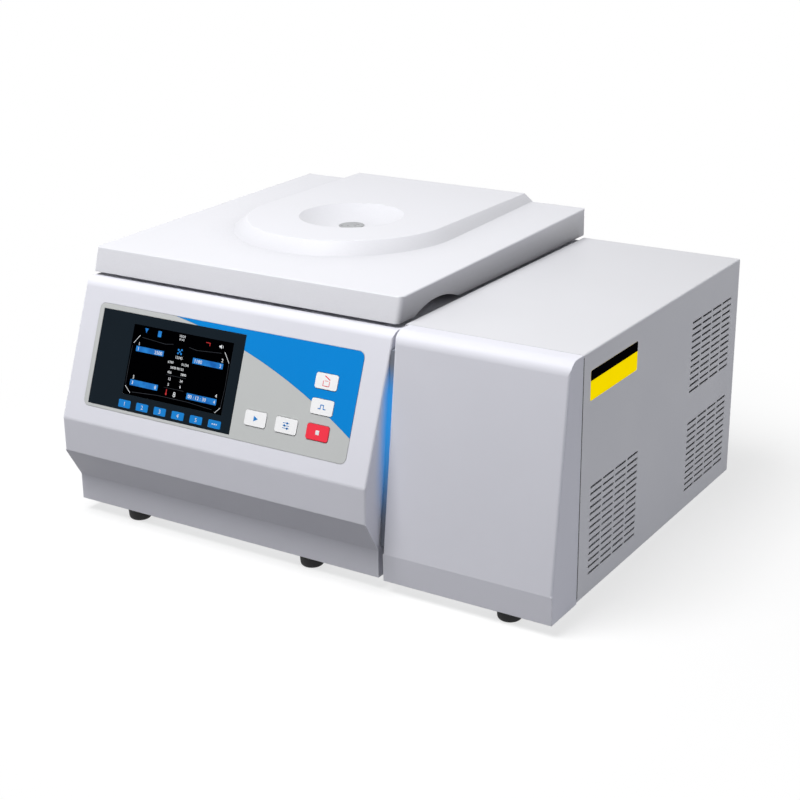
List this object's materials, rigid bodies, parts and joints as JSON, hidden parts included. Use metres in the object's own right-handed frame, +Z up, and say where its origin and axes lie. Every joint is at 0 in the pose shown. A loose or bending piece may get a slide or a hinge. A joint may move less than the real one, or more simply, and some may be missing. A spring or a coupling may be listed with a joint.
{
  "type": "laboratory centrifuge",
  "caption": "Benchtop refrigerated centrifuge with a rear-hinged lid over a swing-out rotor, a sloped control console with a screen and keys, and a side bay for the cooling unit.",
  "frame": {"origin": "centre of the footprint at the level of the bench", "axes": "+X to the right seen from the front, +Y to the back, +Z up"},
  "size_m": [0.683, 0.556, 0.355],
  "materials": {
    "blue_accent": "glossy blue",
    "blue_print": "satin blue film",
    "board_green": "solder mask",
    "bright_steel": "ground steel",
    "case_grey": "anodised case",
    "compressor_black": "black enamel",
    "console_grey": "fine-grained pale grey moulding",
    "copper": "drawn copper",
    "core_steel": "laminated steel",
    "deck_grey": "fine-grained pale grey moulding",
    "fan_black": "black moulding",
    "fin_aluminium": "thin bare aluminium",
    "foam": "cellular foam",
    "hinge_steel": "plated steel",
    "inlet_black": "black moulding",
    "key_red": "satin moulding",
    "key_white": "satin moulding",
    "lid_white": "smooth moulded white",
    "liner_grey": "light grey coat",
    "motor_grey": "dark enamel",
    "nut_black": "black moulding",
    "overlay_grey": "satin printed film",
    "panel_grey": "textured powder coat",
    "rotor_aluminium": "anodised",
    "rubber_black": "matt black rubber",
    "screen_black": "glossy black screen",
    "screw_steel": "plated screw",
    "sight_grey": "translucent grey disc",
    "stainless": "brushed stainless steel",
    "window_dark": "glossy smoked acrylic",
    "zinc_sheet": "zinc plated sheet"
  },
  "bodies": {
    "housing": {"base_plate": "zinc_sheet", "rubber_feet": "rubber_black", "front_console": "console_grey", "control_overlay": "overlay_grey", "blue_foil": "blue_print", "display_window": "window_dark", "lcd_module": "screen_black", "control_board": "board_green", "top_deck": "deck_grey", "left_side_panel": "panel_grey", "right_inner_panel": "zinc_sheet", "rear_panel": "panel_grey", "rear_panel_screws": "screw_steel", "bay_front_cover": "console_grey", "bay_cover": "panel_grey", "accent_strip": "blue_accent", "chamber_bowl": "stainless", "chamber_gasket": "rubber_black", "insulation_jacket": "foam", "evaporator_coil": "copper", "motor_housing": "motor_grey", "motor_bracket": "zinc_sheet", "motor_dampers": "rubber_black", "shaft_seal": "rubber_black", "shaft_bearings": "bright_steel", "compressor": "compressor_black", "compressor_mounts": "rubber_black", "condenser": "fin_aluminium", "fan_frame": "fan_black", "filter_drier": "copper", "refrigerant_pipes": "copper", "power_electronics": "case_grey", "mains_inlet": "inlet_black", "hinge_body_leaves": "hinge_steel", "hinge_pins": "bright_steel", "latch_brackets": "zinc_sheet", "latch_motor": "motor_grey"},
    "lid": {"lid_shell": "lid_white", "lid_liner": "liner_grey", "sight_window": "sight_grey", "lid_strikers": "bright_steel", "hinge_lid_leaves": "hinge_steel", "lid_liner_screws": "screw_steel"},
    "rotor": {"drive_shaft": "bright_steel", "motor_core": "core_steel", "rotor_cross": "rotor_aluminium", "trunnion_pins": "bright_steel", "rotor_nut": "nut_black"},
    "bucket_1": {"bucket_1": "stainless"},
    "bucket_2": {"bucket_2": "stainless"},
    "bucket_3": {"bucket_3": "stainless"},
    "bucket_4": {"bucket_4": "stainless"},
    "fan": {"fan_impeller": "fan_black"},
    "rocker": {"power_rocker": "inlet_black"},
    "latch": {"latch_shaft": "bright_steel"},
    "lid_key": {"lid_key": "key_white"},
    "pulse_key": {"pulse_key": "key_white"},
    "stop_key": {"stop_key": "key_red"},
    "start_key": {"start_key": "key_white"},
    "set_key": {"set_key": "key_white"}
  },
  "joints": [
    {"name": "lid_hinge", "type": "hinge", "parent": "housing", "child": "lid", "pos_m": [-0.1175, 0.271, 0.3006], "axis": [-1, 0, 0], "range_deg": [0, 78]},
    {"name": "rotor_spin", "type": "hinge", "parent": "housing", "child": "rotor", "pos_m": [-0.1175, 0.05293, 0.229], "axis": [0, 0, 1], "continuous": true},
    {"name": "bucket_1_swing", "type": "hinge", "parent": "rotor", "child": "bucket_1", "pos_m": [-0.0335, 0.05293, 0.229], "axis": [0, -1, 0], "range_deg": [0, 90]},
    {"name": "bucket_2_swing", "type": "hinge", "parent": "rotor", "child": "bucket_2", "pos_m": [-0.1175, 0.13693, 0.229], "axis": [1, 0, 0], "range_deg": [0, 90]},
    {"name": "bucket_3_swing", "type": "hinge", "parent": "rotor", "child": "bucket_3", "pos_m": [-0.2015, 0.05293, 0.229], "axis": [0, 1, 0], "range_deg": [0, 90]},
    {"name": "bucket_4_swing", "type": "hinge", "parent": "rotor", "child": "bucket_4", "pos_m": [-0.1175, -0.03107, 0.229], "axis": [-1, 0, 0], "range_deg": [0, 90]},
    {"name": "fan_spin", "type": "hinge", "parent": "housing", "child": "fan", "pos_m": [0.2887, -0.098, 0.089], "axis": [1, 0, 0], "continuous": true},
    {"name": "rocker_tilt", "type": "hinge", "parent": "housing", "child": "rocker", "pos_m": [0.248, 0.258, 0.077], "axis": [-1, 0, 0], "range_deg": [0, 18]},
    {"name": "latch_turn", "type": "hinge", "parent": "housing", "child": "latch", "pos_m": [-0.1175, -0.15824, 0.267], "axis": [1, 0, 0], "range_deg": [0, 28]},
    {"name": "lid_key_press", "type": "slide", "parent": "housing", "child": "lid_key", "axis": [0, 0.9336, -0.3584], "range_m": [0, 0.0008], "stiffness_N_per_m": 1500, "springref_m": -0.0004},
    {"name": "pulse_key_press", "type": "slide", "parent": "housing", "child": "pulse_key", "axis": [0, 0.9336, -0.3584], "range_m": [0, 0.0008], "stiffness_N_per_m": 1500, "springref_m": -0.0004},
    {"name": "stop_key_press", "type": "slide", "parent": "housing", "child": "stop_key", "axis": [0, 0.9336, -0.3584], "range_m": [0, 0.0008], "stiffness_N_per_m": 1500, "springref_m": -0.0004},
    {"name": "start_key_press", "type": "slide", "parent": "housing", "child": "start_key", "axis": [0, 0.9336, -0.3584], "range_m": [0, 0.0008], "stiffness_N_per_m": 1500, "springref_m": -0.0004},
    {"name": "set_key_press", "type": "slide", "parent": "housing", "child": "set_key", "axis": [0, 0.9336, -0.3584], "range_m": [0, 0.0008], "stiffness_N_per_m": 1500, "springref_m": -0.0004}
  ]
}
